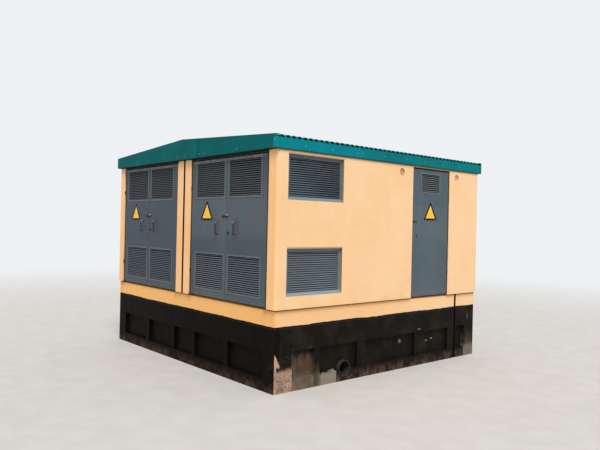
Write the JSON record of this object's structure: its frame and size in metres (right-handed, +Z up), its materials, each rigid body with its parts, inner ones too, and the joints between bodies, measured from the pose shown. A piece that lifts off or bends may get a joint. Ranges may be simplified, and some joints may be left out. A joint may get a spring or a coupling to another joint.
{
  "type": "compact substation",
  "caption": "Twin-module concrete transformer kiosk with hinged steel doors, louvres and a profiled gable roof on a ribbed base.",
  "frame": {"origin": "centre of the ground face, midway between the two modules", "axes": "+Z up, -Y out of the front gable with the double doors, +X out of the long side with the side door"},
  "size_m": [4.844, 4.714, 3.5623],
  "materials": {
    "base_concrete": "bitumen-coated cast concrete, painted band at the top",
    "teal_sheet": "satin teal coated sheet",
    "bearer_timber": "sawn",
    "joint_filler": "matt dark joint filler",
    "loop_steel": "dull bar",
    "door_fittings": "painted with the doors",
    "door_paint": "satin blue-grey enamel",
    "louvre_paint": "satin blue-grey enamel",
    "raw_concrete": "formwork concrete",
    "wall_plaster": "matt facade paint on concrete"
  },
  "bodies": {
    "station": {"base_east_wall": "base_concrete", "base_end_block": "base_concrete", "base_floor": "base_concrete", "base_front_wall": "base_concrete", "base_west_wall": "base_concrete", "corner_trims": "teal_sheet", "east_back_wall": "wall_plaster", "east_floor": "raw_concrete", "east_front_frame": "door_paint", "east_front_lintel": "wall_plaster", "east_inner_pillar": "wall_plaster", "east_long_wall_back": "wall_plaster", "east_long_wall_front": "wall_plaster", "east_lower_louvre": "louvre_paint", "east_outer_pillar": "wall_plaster", "east_party_wall": "raw_concrete", "east_roof_slab": "raw_concrete", "east_side_frame": "door_paint", "east_side_lintel": "wall_plaster", "east_upper_louvre": "louvre_paint", "fascia_back": "teal_sheet", "fascia_east": "teal_sheet", "fascia_front_east": "teal_sheet", "fascia_front_west": "teal_sheet", "fascia_west": "teal_sheet", "joint_seals": "joint_filler", "lifting_loops": "loop_steel", "lifting_pockets": "wall_plaster", "ridge_cap": "teal_sheet", "roof_bearers": "bearer_timber", "roof_sheet_east": "teal_sheet", "roof_sheet_west": "teal_sheet", "west_back_wall": "wall_plaster", "west_floor": "raw_concrete", "west_front_frame": "door_paint", "west_front_lintel": "wall_plaster", "west_inner_pillar": "wall_plaster", "west_long_wall_back": "wall_plaster", "west_long_wall_front": "wall_plaster", "west_lower_louvre": "louvre_paint", "west_outer_pillar": "wall_plaster", "west_party_wall": "raw_concrete", "west_roof_slab": "raw_concrete", "west_side_frame": "door_paint", "west_side_handle": "door_fittings", "west_side_leaf": "door_paint", "west_side_lintel": "wall_plaster", "west_upper_louvre": "louvre_paint"},
    "east_left_door": {"east_front_left_leaf": "door_paint", "east_front_left_handle": "door_fittings"},
    "east_right_door": {"east_front_right_leaf": "door_paint", "east_front_right_handle": "door_fittings"},
    "west_left_door": {"west_front_left_leaf": "door_paint", "west_front_left_handle": "door_fittings"},
    "west_right_door": {"west_front_right_leaf": "door_paint", "west_front_right_handle": "door_fittings"},
    "side_door": {"east_side_leaf": "door_paint", "east_side_handle": "door_fittings"}
  },
  "joints": [
    {"name": "east_left_door_hinge", "type": "hinge", "parent": "station", "child": "east_left_door", "pos_m": [0.22, -2.295, 2.11], "axis": [0, 0, -1], "range_deg": [0, 95]},
    {"name": "east_right_door_hinge", "type": "hinge", "parent": "station", "child": "east_right_door", "pos_m": [2.2, -2.295, 2.11], "axis": [0, 0, 1], "range_deg": [0, 95]},
    {"name": "west_left_door_hinge", "type": "hinge", "parent": "station", "child": "west_left_door", "pos_m": [-2.18, -2.295, 2.11], "axis": [0, 0, -1], "range_deg": [0, 95]},
    {"name": "west_right_door_hinge", "type": "hinge", "parent": "station", "child": "west_right_door", "pos_m": [-0.2, -2.295, 2.11], "axis": [0, 0, 1], "range_deg": [0, 95]},
    {"name": "side_door_hinge", "type": "hinge", "parent": "station", "child": "side_door", "pos_m": [2.395, 1.43, 2.11], "axis": [0, 0, 1], "range_deg": [0, 95]}
  ]
}
